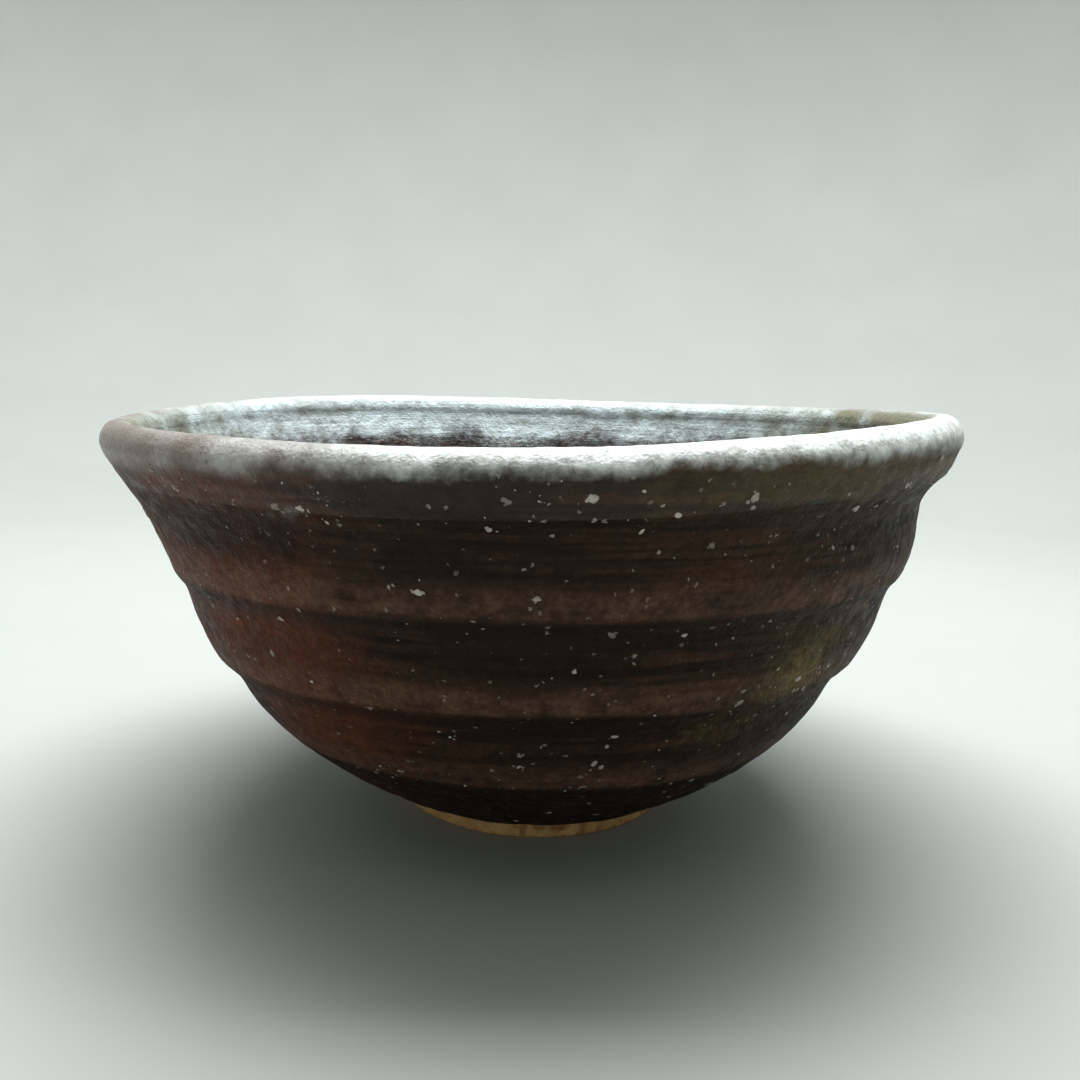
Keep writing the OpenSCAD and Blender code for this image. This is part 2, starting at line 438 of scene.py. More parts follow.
def ring_highlight_band(a, z):
    """Painted highlight: the paler band just over each ring's edge, where the ring stands proud and its face
    catches the light.
    """
    ring_highlight = 0
    for low in ring_edges(a, z):
        ring_highlight = ring_highlight + smooth(z, low - 0.5, low + 0.8) * (1 - smooth(z, low + 2.0, low + 6.5))
    return np.clip(ring_highlight, 0, 1) + 0 * a


def inside_masks(a, z, points):
    """Where ash, olive and dark lie on the inside, from 0 to 1."""
    wide = layered(points, 14, 71)
    fine = layered(points, 4, 81)
    back = beside(a, 95, 75)
    depth = 3.5 + 3.0 * back + 1.6 * wide + 1.8 * fine
    ash = smooth(z, CREST - depth - 5, CREST - depth + 2.5) + 0.3 * np.clip(wide + 0.2, 0, 1)
    ash = np.clip(ash, 0, 1)
    ends = beside(a, -5, 45) + 0.9 * beside(a, 178, 32)
    olive = np.clip(ends * smooth(z, CREST - 22, CREST - 8) + 0.35 * np.clip(wide, 0, 1), 0, 1)
    pool = 1 - smooth(np.hypot(points[..., 0], points[..., 1]), 8, 26)
    dark = np.clip(0.5 - 0.6 * wide, 0, 1)
    red = np.clip(0.35 + 0.5 * fine, 0, 1) * (1 - pool)
    dim = 0.45 * beside(a, 8, 32)
    pale = np.clip(0.12 + 0.9 * back + 0.6 * fine + 0.3 * wide - dim, 0, 1) + 0 * ash
    return {
        "ash": ash,
        "pale": pale,
        "olive": np.clip(olive + 0.8 * pool, 0, 1),
        "red": red,
        "dark": dark,
        "ring_highlight": 0 * ash,
        "under": 0 * ash,
        "inside": 0 * ash + 1,
        "crust": 0.6 * pool + 0 * ash,
    }


# --- Pieces ---------------------------------------------------------------------------------------

def slip_edge(a):
    """Height at which the slip ends beside the foot, where it was wiped off unevenly."""
    wave = lumps(on_wall(30, a, 0 * a), 9, 5) + 0.5 * lumps(on_wall(30, a, 0 * a), 3, 6)
    return FOOT_H + 0.2 + 0.09 * wave


def make_slip(material):
    """The iron slip over the outside."""
    a = angles()
    u = np.linspace(0, 1, SLIP_ROWS)[:, None]
    z = slip_edge(a) + (JOINT - slip_edge(a)) * u ** 1.5
    face = outer_wall(a, z)
    lift = thrown_relief(face) * smooth(u, 0, 0.03) * (1 - smooth(u, 0.97, 1))
    skin = raised(face, lift)
    return coat("iron_slip", skin, raised(skin, -COAT), "outer_slip", material,
                outside_masks(a, z, face))


def lip_masks(a, u, points):
    """The outside's masks as far as the crest, and the inside's from there on."""
    section = JOINT + (CREST - JOINT) * np.clip(1 - np.abs(u - 0.5) * 2, 0, 1) ** 0.8
    out = outside_masks(a, section, points)
    within = inside_masks(a, section, points)
    share = smooth(u, 0.5, 0.62)
    return {label: out[label] * (1 - share) + within[label] * share for label in out}


def make_lip_glaze(material):
    """The ash glaze over the rolled lip."""
    a = angles()
    u = np.linspace(0, 1, LIP_ROWS)[:, None]
    face = lip_line(a, u)
    ends = smooth(u, 0, 0.06) * (1 - smooth(u, 0.94, 1))
    lift = (thrown_relief(face) * 0.8 + 0.06 * layered(face, 1.8, 91, 2)) * ends
    skin = raised(face, lift)
    return coat("lip_glaze", skin, raised(skin, -COAT), "lip_glaze", material,
                lip_masks(a, u, face))


def make_inner_glaze(material):
    """The ash glaze that lines the inside, down to the pool on the floor."""
    a = angles()
    u = np.linspace(0, 1, INSIDE_ROWS)[:, None]
    face = inner_wall(a, u)
    relief = thrown_relief(face) + 0.05 * layered(face, 1.8, 95, 2)
    skin = raised(face, -relief * smooth(u, 0, 0.1) * (1 - smooth(u, 0.97, 1)))
    back = raised(skin, COAT)
    back[0, :] = skin[0, 0] - np.array((0, 0, COAT))
    return coat("inner_glaze", skin, back, "inner_glaze", material,
                inside_masks(a, FLOOR + (JOINT - FLOOR) * u ** 2 + 0 * a, skin))


def hollow_line(a, u):
    """The turned hollow inside the foot, from its middle at 0 to the foot's joint at 1."""
    ceiling = FOOT_H + HOLLOW_DEPTH
    corner = 0.7 * HOLLOW_DEPTH
    radius = FOOT_IN_R * np.clip(u / 0.9, 0, 1)
    drop = corner * (1 - np.sqrt(1 - np.clip((radius - FOOT_IN_R + corner) / corner, 0, 1) ** 2))
    peak = 0.9 * (1 - smooth(radius, 0, 6.5))
    tool_mark = 0.16 * np.sin(TURN * radius / 2.6 + np.radians(a))
    spiral = tool_mark * smooth(radius, 2, 5) * (1 - smooth(radius, 14, 17))
    z = ceiling - peak - drop + spiral * smooth(radius, 0, 1)
    z = np.where(u > 0.9, z + (FOOT_H - z) * (u - 0.9) / 0.1, z)
    return on_wall(radius, a, z)


def make_clay_core(material):
    """The thrown clay between the coats. It shows beside the foot and in the hollow inside the foot."""
    a = angles()
    along = np.linspace(0, 1, 50)
    hollow = rings_of(hollow_line, along)
    skin = 0.09 * layered(hollow, 2.4, 101) + 0.05 * lumps(pull(hollow, 1.1), 1, 103)
    inside_foot = smooth(along, 0, 0.06) * (1 - smooth(along, 0.9, 0.97))
    hollow = raised(hollow, -np.abs(skin) * inside_foot[:, None])
    u = np.linspace(0, 1, 70)[:, None]
    wall = outer_wall(a, FOOT_H + (JOINT - FOOT_H) * u ** 1.5)
    wall = raised(wall, -SUNK + 0.05 * layered(wall, 2.0, 105, 2) * (1 - smooth(u, 0.3, 0.4)))
    wall[0, :, 2] = FOOT_H
    inside = raised(inner_wall(a, np.linspace(1, 0, 40)[:, None]), -SUNK)
    inside[-1, :] = (0, 0, FLOOR - POOL_DEPTH - SUNK)
    wall[-1, :, 2] = outer_wall(a, JOINT)[..., 2]
    hollow[0, :] = hollow[0].mean(axis=0)
    rows = np.concatenate((hollow, wall, inside))
    bare = np.concatenate((np.zeros((len(hollow), AROUND)), smooth(1 - u, 0.8, 1) + 0 * a,
                           np.zeros((len(inside), AROUND))))
    return make_piece("clay_core", rows, "clay_body", material, {"edge": bare})


def make_lip_core(material):
    """The clay of the rolled lip, all under its glaze."""
    line = rings_of(lip_line, np.linspace(0, 1, 40), 240)
    return make_piece("lip_core", raised(line, -SUNK), "lip_roll", material)


def foot_section():
    """The foot ring's section as closely spaced radii and heights, once round from its outer top."""
    turn = np.linspace(0, math.pi / 2, 9)
    out_r = FOOT_TOP_R - FOOT_TAPER
    outer = np.stack((out_r + FOOT_EDGE * (np.cos(turn) - 1), FOOT_EDGE * (1 - np.sin(turn))), axis=-1)
    inner = np.stack((FOOT_IN_R + FOOT_EDGE * (1 - np.sin(turn)), FOOT_EDGE * (1 - np.cos(turn))), axis=-1)
    top = [(FOOT_IN_R, FOOT_H), (FOOT_TOP_R, FOOT_H)]
    corners = np.concatenate((top[1:], outer, inner, top))
    run = np.append(0, np.cumsum(np.linalg.norm(np.diff(corners, axis=0), axis=1)))
    at = np.linspace(0, run[-1], 72, endpoint=False)
    return np.interp(at, run, corners[:, 0]), np.interp(at, run, corners[:, 1])


def make_foot(material):
    """The bare foot ring: rough clay with pits and chips, standing flat."""
    radius, z = foot_section()
    ring = on_wall(radius[:, None], angles(), z[:, None])
    wobble = 0.18 * lumps(on_wall(12, angles(), 0 * angles()), 6, 111)
    chips = np.clip(lumps(ring, 1.6, 113) - 0.45, 0, 1) + 0.7 * np.clip(lumps(ring, 0.8, 115) - 0.4, 0, 1)
    rough = wobble + 0.07 * layered(ring, 1.4, 117, 2) - 0.55 * chips
    free = 1 - smooth(z, FOOT_H - 0.3, FOOT_H)
    ring = raised(ring, rough * free[:, None] - 0.02)
    ring[..., 2] = np.clip(ring[..., 2], 0, FOOT_H)
    pits = np.clip(chips * 4, 0, 1) * free[:, None]
    return make_piece("foot_ring", ring, "foot_ring", material, {"edge": pits})


# --- Feldspar -------------------------------------------------------------------------------------

def packed_grains():
    """Angle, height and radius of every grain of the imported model."""
    work = bmesh.new()
    work.from_mesh(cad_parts["feldspar_grains"].data)
    bmesh.ops.remove_doubles(work, verts=work.verts, dist=1e-6)
    left = set(work.verts)
    grains = []
    for vert in work.verts:
        if vert not in left:
            continue
        left.discard(vert)
        island = [vert]
        for member in island:
            near = [edge.other_vert(member) for edge in member.link_edges]
            fresh = [other for other in near if other in left]
            left.difference_update(fresh)
            island.extend(fresh)
        points = np.array([member.co for member in island]) / MM
        middle = points.mean(axis=0)
        size = np.linalg.norm(points - middle, axis=1).max()
        grains.append((math.degrees(math.atan2(middle[1], middle[0])), middle[2], 0.8 * size))
    work.free()
    return grains


# The grains that stand out most on the side first seen, as angle, height and radius.
SHOWN_GRAINS = (
    (-84, 61.7, 1.25), (-84, 58.9, 0.7), (-68, 60.6, 1.0), (-116, 59.6, 0.9), (-113, 59.5, 0.7),
    (-131, 60.4, 0.8), (-134, 62.4, 0.6), (-103, 49.2, 0.8), (-90, 48.6, 0.6), (-82, 20, 0.8),
    (-81, 17.8, 0.7), (-63, 25, 0.8), (-70, 21, 0.7), (-78, 27, 0.8), (-88, 57, 0.8), (-92, 61.5, 0.8),
    (-94, 57.8, 0.8), (-77, 54.3, 0.8), (-71, 54.6, 0.9), (-72, 42.6, 0.9), (-124, 42.8, 0.8),
    (-122, 33.6, 0.6), (-102, 17.3, 0.6), (-92, 24, 0.7), (-58, 16, 0.9), (-44, 59.5, 0.9), (-52, 57.5, 0.8),
)


def grain_share(a, z):
    """How thickly small grains lie at a place on the outside, from 0 to 1. They come in drifts."""
    low_right = 1.5 * patch(a, z, -68, 20, 30, 11) + 1.3 * patch(a, z, -48, 32, 16, 9)
    under_lip = 0.9 * patch(a, z, -80, 60, 50, 4) + 0.6 * patch(a, z, -40, 56, 24, 7)
    low_left = 0.45 * patch(a, z, -122, 18, 13, 4)
    behind = 0.4 * patch(a, z, 60, 45, 60, 16) + 0.35 * patch(a, z, 150, 24, 36, 9)
    drift = 0.15 + 1.5 * np.clip(layered(on_wall(50, a, z), 7, 131), 0, 1)
    return np.clip((0.08 + low_right + under_lip + low_left + behind) * drift, 0, 1)


def small_grains(count, seed):
    """Seeded places for the small grains, more of them where they lie thickly."""
    chance = np.random.default_rng(seed)
    a = chance.uniform(-180, 180, count)
    z = FOOT_H + 2 + (CREST - 3.4 - FOOT_H - 2) * chance.uniform(0, 1, count) ** 0.8
    kept = chance.uniform(0, 1, count) < grain_share(a, z)
    radius = 0.11 + 0.5 * chance.uniform(0, 1, count) ** 5
    return np.stack((a[kept], z[kept], radius[kept]), axis=-1)


def outside_places(a, z):
    """Points of the outside, and the way square to it at each."""
    def here(turned, risen):
        u = np.clip(0.25 * (z + risen - JOINT) / (CREST - LIP_RISE - JOINT), 0, 0.45)
        lip = lip_line(a + turned, u)
        return np.where((z > JOINT)[:, None], lip, outer_wall(a + turned, np.minimum(z + risen, JOINT)))
    away = np.cross(here(0.4, 0) - here(-0.4, 0), here(0, 0) - here(0, -0.3))
    return here(0, 0), away / np.linalg.norm(away, axis=-1, keepdims=True)


def add_crumb(work, at, turn, radius, tone, chance):
    """One worn crumb, sunk in the slip: a lumpy ball pressed flat against the wall."""
    ball = bmesh.ops.create_icosphere(work, subdivisions=2 if radius > 0.26 else 1, radius=1)["verts"]
    spin = Matrix.Rotation(chance.uniform(0, TURN), 3, "Z")
    shape = np.array([v.co for v in ball])
    lump = 1 + 0.45 * layered(shape, 0.9, int(chance.integers(200, 230)), 2)
    shape = shape * lump[:, None] * radius * np.array((chance.uniform(1.0, 1.9), 1, 0.42))
    layer = work.verts.layers.float["tone"]
    for vert, place_in in zip(ball, shape):
        vert.co = (Vector(at) + turn @ (spin @ Vector(place_in))) * MM
        vert[layer] = tone


def add_grain(work, at, away, radius, chance):
    """A grain: one crumb if it is small, and a huddle of them if it is large."""
    turn = Vector(away).to_track_quat("Z", "Y").to_matrix()
    tone = chance.uniform(0.05, 1) ** 1.2
    if radius < 0.42:
        add_crumb(work, at, turn, radius, tone, chance)
        return
    add_crumb(work, at, turn, 0.5 * radius, tone, chance)
    for crumb in range(int(chance.integers(3, 8))):
        aside = Vector((chance.normal(0, 0.6) * radius, chance.normal(0, 0.32) * radius, 0))
        near = Vector(at) + turn @ aside
        small = radius * chance.uniform(0.14, 0.38)
        add_crumb(work, near, turn, small, tone * chance.uniform(0.6, 1), chance)


def make_grains(material):
    """The feldspar that melts out of the clay: large grains, and many small ones in drifts."""
    chance = np.random.default_rng(77)
    work = bmesh.new()
    work.verts.layers.float.new("tone")
    grains = np.concatenate((packed_grains(), SHOWN_GRAINS, small_grains(GRAIN_TRIES, 78)))
    places = outside_places(grains[:, 0], grains[:, 1])
    for at, away, radius in zip(places[0], places[1], grains[:, 2]):
        add_grain(work, at - 0.1 * radius * away, away, radius, chance)
    for face in work.faces:
        face.smooth = True
    mesh = bpy.data.meshes.new("feldspar_worn")
    work.to_mesh(mesh)
    work.free()
    return place(bpy.data.objects.new("feldspar_worn", mesh), "feldspar_grains", material)


# --- Node helpers ---------------------------------------------------------------------------------

def add(tree, kind, inputs=None, **settings):
    """A node with its settings. An input is given a value, or another node's output."""
    made = tree.nodes.new(kind)
    for name, value in settings.items():
        setattr(made, name, value)
    for name, value in (inputs or {}).items():
        if isinstance(value, bpy.types.NodeSocket):
            tree.links.new(value, made.inputs[name])
        else:
            made.inputs[name].default_value = value
    return made


def work_out(tree, operation, first, second=0.5, third=0.5, clamp=False):
    """The result of a Math node."""
    inputs = {0: first, 1: second, 2: third}
    return add(tree, "ShaderNodeMath", inputs, operation=operation, use_clamp=clamp).outputs[0]


def passage(tree, value, start, end, low=0.0, high=1.0):
    """A smooth passage from low to high as a value goes from start to end."""
    inputs = {"Value": value, "From Min": start, "From Max": end, "To Min": low, "To Max": high}
    return add(tree, "ShaderNodeMapRange", inputs, interpolation_type="SMOOTHSTEP").outputs[0]


def parted(tree, value, softness):
    """A value parted into 0 and 1 at its middle, hard or soft."""
    low = work_out(tree, "SUBTRACT", 0.5, softness)
    high = work_out(tree, "ADD", 0.5, softness)
    return passage(tree, value, low, high)


def over(tree, share, below, above):
    """One colour laid over another by a share."""
    inputs = {0: share, 6: below, 7: above}
    return add(tree, "ShaderNodeMix", inputs, data_type="RGBA").outputs[2]


def laid(tree, where, strength, below, above):
    """One colour laid over another where a mask says, at a strength."""
    return over(tree, work_out(tree, "MULTIPLY", where, strength), below, above)


def times(tree, share, below, above):
    """One colour multiplied by another by a share."""
    inputs = {0: share, 6: below, 7: above}
    return add(tree, "ShaderNodeMix", inputs, data_type="RGBA", blend_type="MULTIPLY").outputs[2]


def new_group(name, takes, gives):
    """An empty node group with its named numbers in and one named number out."""
    tree = bpy.data.node_groups.new(name, "ShaderNodeTree")
    number = "NodeSocketFloat"
    for label, value in takes.items():
        tree.interface.new_socket(label, in_out="INPUT", socket_type=number).default_value = value
    tree.interface.new_socket(gives, in_out="OUTPUT", socket_type=number)
    return tree, tree.nodes.new("NodeGroupInput").outputs, tree.nodes.new("NodeGroupOutput")


def use(tree, group, **values):
    """The outputs of a group placed in a tree with its own values."""
    return add(tree, "ShaderNodeGroup", values, node_tree=group).outputs


def mask(tree, name):
    """A mask painted on the mesh."""
    return add(tree, "ShaderNodeAttribute", attribute_name=name).outputs["Fac"]


def per_metre(tree, size):
    """Scale of a texture whose features are so many millimetres across."""
    return work_out(tree, "DIVIDE", 1000.0, size)


# --- Effects shared by the finishes ---------------------------------------------------------------

def build_mottle():
    """Cloudy patches of a size in millimetres, hard or soft at their edges."""
    tree, taken, given = new_group("mottle", {"Size": 6.0, "Fineness": 4.0, "Softness": 0.3}, "Value")
    place_in = add(tree, "ShaderNodeTexCoord").outputs["Object"]
    noise = add(tree, "ShaderNodeTexNoise", {
        "Vector": place_in, "Scale": per_metre(tree, taken["Size"]), "Detail": taken["Fineness"],
        "Roughness": 0.6})
    tree.links.new(parted(tree, noise.outputs["Fac"], taken["Softness"]), given.inputs["Value"])
    return tree


def build_turning_lines():
    """Fine lines that run round the bowl as throwing leaves them, a pitch in millimetres apart."""
    tree, taken, given = new_group("turning_lines", {"Pitch": 1.2, "Length": 2.0}, "Value")
    place_in = add(tree, "ShaderNodeTexCoord").outputs["Object"]
    parts = add(tree, "ShaderNodeSeparateXYZ", {"Vector": place_in}).outputs
    flat = add(tree, "ShaderNodeCombineXYZ", {"X": parts["X"], "Y": parts["Y"]}).outputs["Vector"]
    across = add(tree, "ShaderNodeVectorMath", {0: flat}, operation="LENGTH").outputs["Value"]
    turn = add(tree, "ShaderNodeVectorMath", {0: flat}, operation="NORMALIZE").outputs["Vector"]
    turn = add(tree, "ShaderNodeVectorMath", {0: turn, "Scale": taken["Length"]}, operation="SCALE")
    run = work_out(tree, "MULTIPLY_ADD", across, 0.5, parts["Z"])
    run = work_out(tree, "MULTIPLY", run, per_metre(tree, taken["Pitch"]))
    lift = add(tree, "ShaderNodeCombineXYZ", {"Z": run}).outputs["Vector"]
    drawn = add(tree, "ShaderNodeVectorMath", {0: turn.outputs["Vector"], 1: lift}, operation="ADD")
    noise = add(tree, "ShaderNodeTexNoise", {
        "Vector": drawn.outputs["Vector"], "Scale": 1.0, "Detail": 2.0, "Roughness": 0.55})
    tree.links.new(noise.outputs["Fac"], given.inputs["Value"])
    return tree


def build_flecks():
    """Separate worn flecks up to a size in millimetres; Share is how many places hold one."""
    tree, taken, given = new_group("flecks", {"Size": 1.0, "Share": 0.3, "Seed": 0.0}, "Mask")
    place_in = add(tree, "ShaderNodeTexCoord").outputs["Object"]
    shift = add(tree, "ShaderNodeVectorMath", {0: place_in, 1: taken["Seed"]}, operation="ADD")
    wear = add(tree, "ShaderNodeTexNoise", {
        "Vector": place_in, "Scale": work_out(tree, "MULTIPLY", per_metre(tree, taken["Size"]), 1.6),
        "Detail": 3.0, "Roughness": 0.7})
    spread = work_out(tree, "MULTIPLY", taken["Size"], 1.3 * MM)
    worn = add(tree, "ShaderNodeVectorMath", {0: wear.outputs["Color"], "Scale": spread}, operation="SCALE")
    shift = add(tree, "ShaderNodeVectorMath", {0: shift.outputs["Vector"], 1: worn.outputs["Vector"]},
                operation="ADD")
    cells = add(tree, "ShaderNodeTexVoronoi", {
        "Vector": shift.outputs["Vector"], "Scale": per_metre(tree, taken["Size"])})
    own = add(tree, "ShaderNodeSeparateColor", {"Color": cells.outputs["Color"]}).outputs
    held = work_out(tree, "LESS_THAN", own["Red"], taken["Share"])
    reach = work_out(tree, "MULTIPLY_ADD", own["Green"], 0.28, 0.12)
    inner = work_out(tree, "MULTIPLY", reach, 0.55)
    dot = passage(tree, cells.outputs["Distance"], reach, inner)
    strength = work_out(tree, "MULTIPLY_ADD", own["Blue"], 0.7, 0.3)
    dot = work_out(tree, "MULTIPLY", dot, strength)
    tree.links.new(work_out(tree, "MULTIPLY", dot, held), given.inputs["Mask"])
    return tree


def build_ragged():
    """A painted mask with its edge eaten away at a size in millimetres."""
    takes = {"Mask": 0.0, "Size": 2.0, "Bite": 0.6, "Softness": 0.2}
    tree, taken, given = new_group("ragged_edge", takes, "Mask")
    place_in = add(tree, "ShaderNodeTexCoord").outputs["Object"]
    noise = add(tree, "ShaderNodeTexNoise", {
        "Vector": place_in, "Scale": per_metre(tree, taken["Size"]), "Detail": 5.0, "Roughness": 0.65})
    bite = work_out(tree, "MULTIPLY_ADD", noise.outputs["Fac"], 2.0, -1.0)
    value = work_out(tree, "MULTIPLY_ADD", bite, taken["Bite"], taken["Mask"])
    eaten = parted(tree, value, taken["Softness"])
    painted = passage(tree, taken["Mask"], 0.0, 0.15)
    tree.links.new(work_out(tree, "MULTIPLY", eaten, painted), given.inputs["Mask"])
    return tree


MOTTLE = build_mottle()
TURNING_LINES = build_turning_lines()
FLECKS = build_flecks()
RAGGED = build_ragged()


def mottle(tree, size, fineness=4.0, softness=0.3):
    return use(tree, MOTTLE, Size=size, Fineness=fineness, Softness=softness)["Value"]


def turning_lines(tree, pitch, length=2.0):
    return use(tree, TURNING_LINES, Pitch=pitch, Length=length)["Value"]


def flecks(tree, size, share, seed=0.0):
    return use(tree, FLECKS, Size=size, Share=share, Seed=seed)["Mask"]


def ragged(tree, painted, size, bite=0.6, softness=0.2):
    return use(tree, RAGGED, Mask=painted, Size=size, Bite=bite, Softness=softness)["Mask"]


# --- Finishes -------------------------------------------------------------------------------------

def new_material(name):
    """A material with only its Principled shader, and that shader."""
    material = bpy.data.materials.new(name)
    material.use_nodes = True
    tree = material.node_tree
    tree.nodes.clear()
    shader = add(tree, "ShaderNodeBsdfPrincipled")
    output = add(tree, "ShaderNodeOutputMaterial")
    tree.links.new(shader.outputs[0], output.inputs["Surface"])
    return material, tree, shader


def finish(tree, shader, skin, roughness, height, depth_mm):
    """Joins a finished colour, roughness and height to the shader."""
    tree.links.new(skin, shader.inputs["Base Color"])
    tree.links.new(roughness, shader.inputs["Roughness"])
    bump = add(tree, "ShaderNodeBump", {"Height": height, "Strength": 1.0, "Distance": depth_mm * MM})
    tree.links.new(bump.outputs["Normal"], shader.inputs["Normal"])


def colour(red, green, blue):
    """A colour as the shaders take it."""
    return (red, green, blue, 1.0)


IRON_BROWN = colour(0.070, 0.034, 0.016)
IRON_BLACK = colour(0.012, 0.007, 0.005)
IRON_RED = colour(0.150, 0.040, 0.016)
# Colour of the painted highlight band over each ring's edge.
RING_HIGHLIGHT_GREY = colour(0.230, 0.125, 0.080)
OLIVE = colour(0.088, 0.058, 0.012)
CRUST_OCHRE = colour(0.27, 0.205, 0.08)
ASH_WHITE = colour(0.84, 0.89, 0.87)
ASH_MAUVE = colour(0.20, 0.165, 0.145)
ASH_BLUE = colour(0.64, 0.74, 0.77)
ASH_GREY = colour(0.175, 0.17, 0.115)
CREAM = colour(0.50, 0.45, 0.37)
PLUM = colour(0.055, 0.036, 0.035)
SPAR_DULL = colour(0.12, 0.085, 0.065)
SPAR_MILKY = colour(0.62, 0.58, 0.50)
SPAR_GREY = colour(0.14, 0.11, 0.09)
# Pale, burnt and rusty colours of the bare clay, first under the coats and then on the foot.
CORE_CLAY = (colour(0.16, 0.09, 0.05), colour(0.07, 0.04, 0.03), colour(0.10, 0.04, 0.015))
FOOT_CLAY = (colour(0.72, 0.47, 0.21), colour(0.50, 0.28, 0.10), colour(0.20, 0.07, 0.02))


def iron_ground(tree):
    """The iron slip itself, streaked by turning, and plum-brown inside the bowl."""
    lines = passage(tree, turning_lines(tree, 1.4, 2.5), 0.35, 0.65)
    ground = over(tree, lines, IRON_BLACK, IRON_BROWN)
    return over(tree, mask(tree, "inside"), ground, PLUM)


def fired_zones(tree, skin):
    """The red, dark and olive zones, the painted highlight over each ring and the painted shade under each
    ring, over the ground.
    """
    red = ragged(tree, mask(tree, "red"), 9.0, 0.5, 0.45)
    skin = over(tree, red, skin, IRON_RED)
    skin = laid(tree, mottle(tree, 5.0), 0.5, skin, IRON_BLACK)
    # The dark mask holds the slip's own dark blots, and painted shade towards the foot and under the lip on
    # the left.
    dark = ragged(tree, mask(tree, "dark"), 3.0, 0.5, 0.3)
    skin = laid(tree, dark, 0.75, skin, IRON_BLACK)
    # Painted highlight: a paler band over each ring's edge, where it catches the light.
    ring_highlight = work_out(tree, "MULTIPLY", mask(tree, "ring_highlight"), mottle(tree, 3.5, 5.0, 0.35))
    skin = laid(tree, ring_highlight, 0.65, skin, RING_HIGHLIGHT_GREY)
    skin = laid(tree, mask(tree, "under"), 0.7, skin, IRON_BLACK)
    olive = ragged(tree, mask(tree, "olive"), 4.0, 0.7, 0.4)
    skin = laid(tree, olive, 0.7, skin, OLIVE)
    crust = ragged(tree, mask(tree, "crust"), 1.5, 0.75, 0.3)
    skin = laid(tree, crust, 0.5, skin, CRUST_OCHRE)
    return laid(tree, mottle(tree, 0.8, 3.0, 0.18), 0.5, skin, IRON_BLACK)


def ash_over(tree, skin, size):
    """Ash laid over a skin where it is painted: white or mauve outside, blue-grey inside."""
    inside = mask(tree, "inside")
    ash = ragged(tree, mask(tree, "ash"), size, 0.4, 0.48)
    white = work_out(tree, "MULTIPLY", mask(tree, "pale"), mottle(tree, 2.2, 6.0, 0.4), clamp=True)
    white = work_out(tree, "MULTIPLY_ADD", mask(tree, "pale"), 0.45, white, clamp=True)
    shade = over(tree, inside, ASH_MAUVE, ASH_GREY)
    pale = over(tree, inside, ASH_WHITE, ASH_BLUE)
    return over(tree, ash, skin, over(tree, white, shade, pale)), ash


def crawled(tree, skin, depth):
    """Dark places the size of sand where the ash has drawn back, most of them where it is thin."""
    holes = flecks(tree, 0.9, 0.34, 3.1)
    thin = passage(tree, mask(tree, "pale"), 1.0, 0.3)
    thin = work_out(tree, "MULTIPLY_ADD", mask(tree, "inside"), 0.4, thin, clamp=True)
    holes = work_out(tree, "MULTIPLY", holes, thin)
    return laid(tree, holes, depth, skin, PLUM), holes


def fired_finish(tree, shader, skin, ash, specks, holes, depth_mm):
    """Joins a fired skin to the shader: grit, turning lines and thicker ash in its height."""
    grit = mottle(tree, 0.55, 3.0, 0.3)
    dents = mottle(tree, 1.8, 2.0, 0.45)
    lines = turning_lines(tree, 0.8, 3.0)
    height = work_out(tree, "MULTIPLY", grit, 0.6)
    for layer, share in ((lines, 1.0), (dents, 1.3), (ash, 0.7), (specks, 0.7), (holes, -0.6)):
        height = work_out(tree, "MULTIPLY_ADD", layer, share, height)
    matt = passage(tree, mottle(tree, 2.2), 0.0, 1.0, 0.46, 0.72)
    glossy = passage(tree, mottle(tree, 1.3), 0.0, 1.0, 0.26, 0.48)
    roughness = add(tree, "ShaderNodeMix", {0: ash, 2: matt, 3: glossy}).outputs[0]
    finish(tree, shader, skin, roughness, height, depth_mm)


def make_fired(name, ash_size, speck_share, hole_depth, shine, depth_mm):
    """A fired finish: iron slip with the kiln's ash over it, as thick as its masks say."""
    material, tree, shader = new_material(name)
    skin = fired_zones(tree, iron_ground(tree))
    skin, ash = ash_over(tree, skin, ash_size)
    skin, holes = crawled(tree, skin, hole_depth)
    specks = flecks(tree, 1.0, speck_share)
    skin = laid(tree, specks, 0.55, skin, CREAM)
    shader.inputs["Specular IOR Level"].default_value = shine
    fired_finish(tree, shader, skin, ash, specks, holes, depth_mm)
    return material


def make_clay(name, pale, burnt, rust):
    """Bare fired clay: sandy, with burnt patches, rust spots and open pits."""
    material, tree, shader = new_material(name)
    skin = over(tree, mottle(tree, 2.5, 5.0, 0.25), pale, burnt)
    spots = flecks(tree, 1.3, 0.22, 1.7)
    skin = laid(tree, spots, 0.75, skin, rust)
    skin = laid(tree, mask(tree, "edge"), 0.6, skin, rust)
    sand = mottle(tree, 0.35, 2.0, 0.4)
    skin = times(tree, work_out(tree, "MULTIPLY", sand, 0.3), skin, colour(0.45, 0.4, 0.35))
    roughness = passage(tree, sand, 0.0, 1.0, 0.72, 0.92)
    height = work_out(tree, "MULTIPLY_ADD", spots, -0.8, sand)
    shader.inputs["Specular IOR Level"].default_value = 0.25
    finish(tree, shader, skin, roughness, height, 0.1)
    return material


def make_feldspar():
    """Half-melted feldspar: milky, creamier and greyer in places."""
    material, tree, shader = new_material("feldspar")
    skin = over(tree, mask(tree, "tone"), SPAR_DULL, SPAR_MILKY)
    skin = laid(tree, mottle(tree, 0.8, 3.0, 0.3), 0.5, skin, SPAR_GREY)
    grain = mottle(tree, 0.3, 2.0, 0.4)
    roughness = passage(tree, grain, 0.0, 1.0, 0.32, 0.55)
    finish(tree, shader, skin, roughness, grain, 0.05)
    return material


